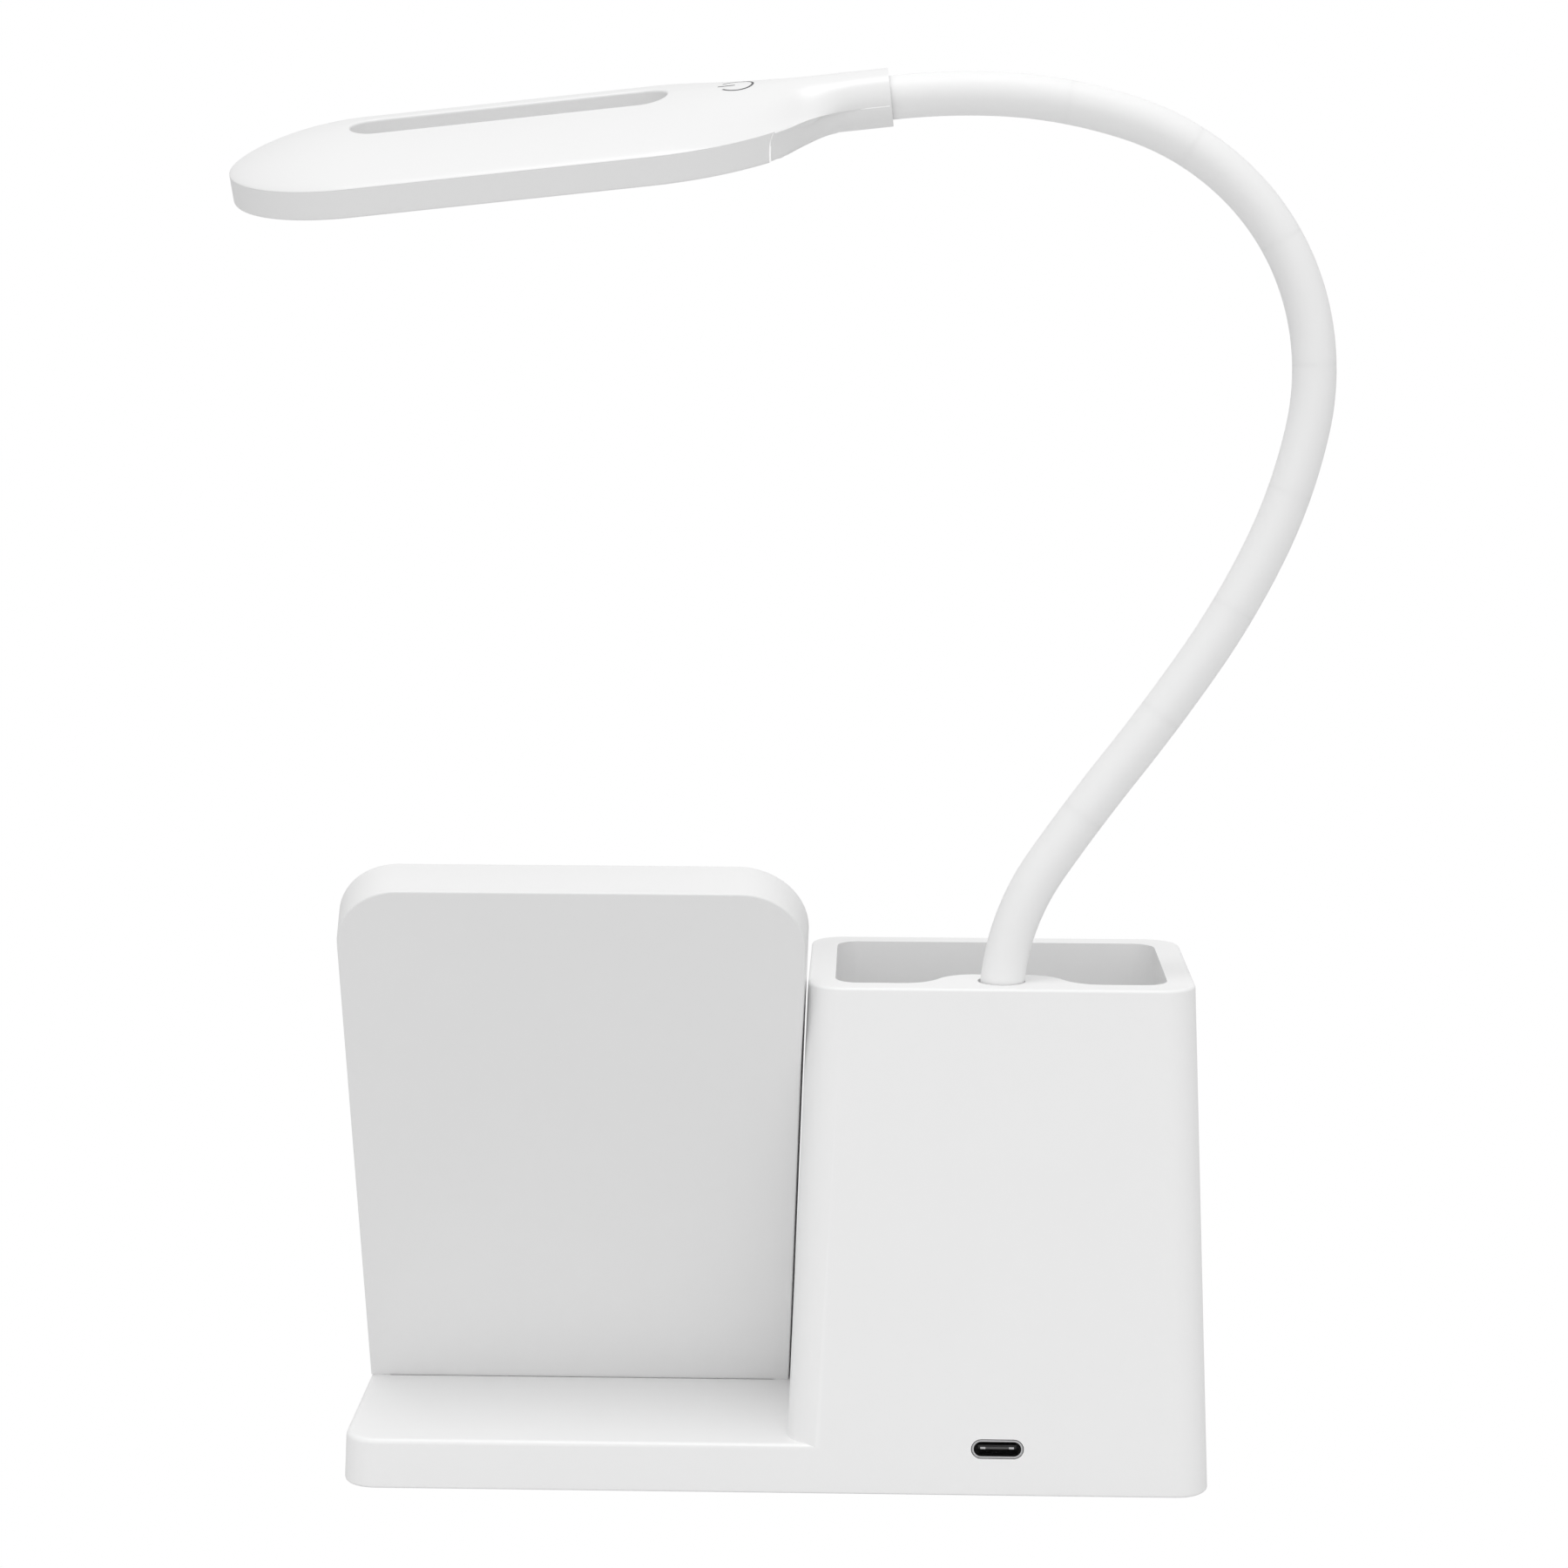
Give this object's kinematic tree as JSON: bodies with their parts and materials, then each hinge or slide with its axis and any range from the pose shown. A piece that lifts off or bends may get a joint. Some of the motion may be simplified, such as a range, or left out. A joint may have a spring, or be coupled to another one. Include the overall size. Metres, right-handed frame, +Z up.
{
  "type": "desk lamp with pen cup and phone stand",
  "caption": "White gooseneck desk lamp with a slotted oval light head, on a low base that joins an open pen cup, a charging port and a leaning phone board with a ledge",
  "frame": {"origin": "centre of the base's footprint, on the table", "axes": "+Z up, +X to the lamp's right seen from the port side, +Y towards the phone side"},
  "size_m": [0.1881, 0.0726, 0.2473],
  "materials": {
    "white_housing": "satin moulded",
    "board_white": "satin moulded",
    "head_white": "satin moulded",
    "plated_steel": "zinc plated",
    "foot_rubber": "matte",
    "screw_steel": "plated",
    "cell_wrap": "shrink sleeve",
    "circuit_board": "solder mask",
    "chip_black": "moulded",
    "port_steel": "drawn",
    "wire_red": "insulated",
    "ferrule_brass": "turned",
    "opal_diffuser": "opal",
    "board_aluminium": "white coated",
    "led_yellow": "phosphor",
    "sensor_copper": "bare",
    "hose_steel": "wound",
    "silicone_white": "silky"
  },
  "bodies": {
    "base": {"base_housing": "white_housing", "phone_board": "board_white", "board_cover": "board_white", "bottom_cover": "white_housing", "ballast_plate": "plated_steel", "rubber_feet": "foot_rubber", "bottom_screws": "screw_steel", "board_screws": "screw_steel", "battery_cell": "cell_wrap", "battery_tabs": "screw_steel", "main_board": "circuit_board", "board_chips": "chip_black", "port_shell": "port_steel", "port_tongue": "chip_black", "base_leads": "wire_red", "neck_ferrule": "ferrule_brass", "neck_core_0": "hose_steel", "neck_sleeve_0": "silicone_white"},
    "neck_1": {"neck_core_1": "hose_steel", "neck_sleeve_1": "silicone_white"},
    "neck_2": {"neck_core_2": "hose_steel", "neck_sleeve_2": "silicone_white"},
    "neck_3": {"neck_core_3": "hose_steel", "neck_sleeve_3": "silicone_white"},
    "neck_4": {"neck_core_4": "hose_steel", "neck_sleeve_4": "silicone_white"},
    "neck_5": {"neck_core_5": "hose_steel", "neck_sleeve_5": "silicone_white"},
    "neck_6": {"neck_core_6": "hose_steel", "neck_sleeve_6": "silicone_white"},
    "neck_7": {"neck_core_7": "hose_steel", "neck_sleeve_7": "silicone_white"},
    "neck_8": {"neck_core_8": "hose_steel", "neck_sleeve_8": "silicone_white"},
    "head": {"neck_core_9": "hose_steel", "neck_sleeve_9": "silicone_white", "head_shell": "head_white", "head_bezel": "head_white", "neck_cover": "head_white", "diffuser": "opal_diffuser", "led_board": "board_aluminium", "led_chips": "led_yellow", "touch_sensor": "sensor_copper", "head_leads": "wire_red", "neck_clamp": "plated_steel", "clamp_screws": "screw_steel"}
  },
  "joints": [
    {"name": "neck_bend_1", "type": "hinge", "parent": "base", "child": "neck_1", "pos_m": [0.04664, -0.02, 0.1113], "axis": [0, 1, 0], "range_deg": [-6, 12]},
    {"name": "neck_bend_2", "type": "hinge", "parent": "neck_1", "child": "neck_2", "pos_m": [0.05946, -0.02, 0.12918], "axis": [-0.7955, 0, 0.606], "range_deg": [-10, 10]},
    {"name": "neck_bend_3", "type": "hinge", "parent": "neck_2", "child": "neck_3", "pos_m": [0.07223, -0.02, 0.14708], "axis": [0, 1, 0], "range_deg": [-6, 12]},
    {"name": "neck_bend_4", "type": "hinge", "parent": "neck_3", "child": "neck_4", "pos_m": [0.08301, -0.02, 0.16624], "axis": [0, 1, 0], "range_deg": [-6, 12]},
    {"name": "neck_bend_5", "type": "hinge", "parent": "neck_4", "child": "neck_5", "pos_m": [0.08984, -0.02, 0.1871], "axis": [-0.9806, 0, 0.1959], "range_deg": [-10, 10]},
    {"name": "neck_bend_6", "type": "hinge", "parent": "neck_5", "child": "neck_6", "pos_m": [0.08891, -0.02, 0.20887], "axis": [0, 1, 0], "range_deg": [-6, 12]},
    {"name": "neck_bend_7", "type": "hinge", "parent": "neck_6", "child": "neck_7", "pos_m": [0.0778, -0.02, 0.22758], "axis": [0, 1, 0], "range_deg": [-6, 12]},
    {"name": "neck_bend_8", "type": "hinge", "parent": "neck_7", "child": "neck_8", "pos_m": [0.05917, -0.02, 0.23889], "axis": [-0.304, 0, -0.9527], "range_deg": [-10, 10]},
    {"name": "neck_bend_9", "type": "hinge", "parent": "neck_8", "child": "head", "pos_m": [0.03759, -0.02, 0.24287], "axis": [0, 1, 0], "range_deg": [-6, 12]}
  ]
}
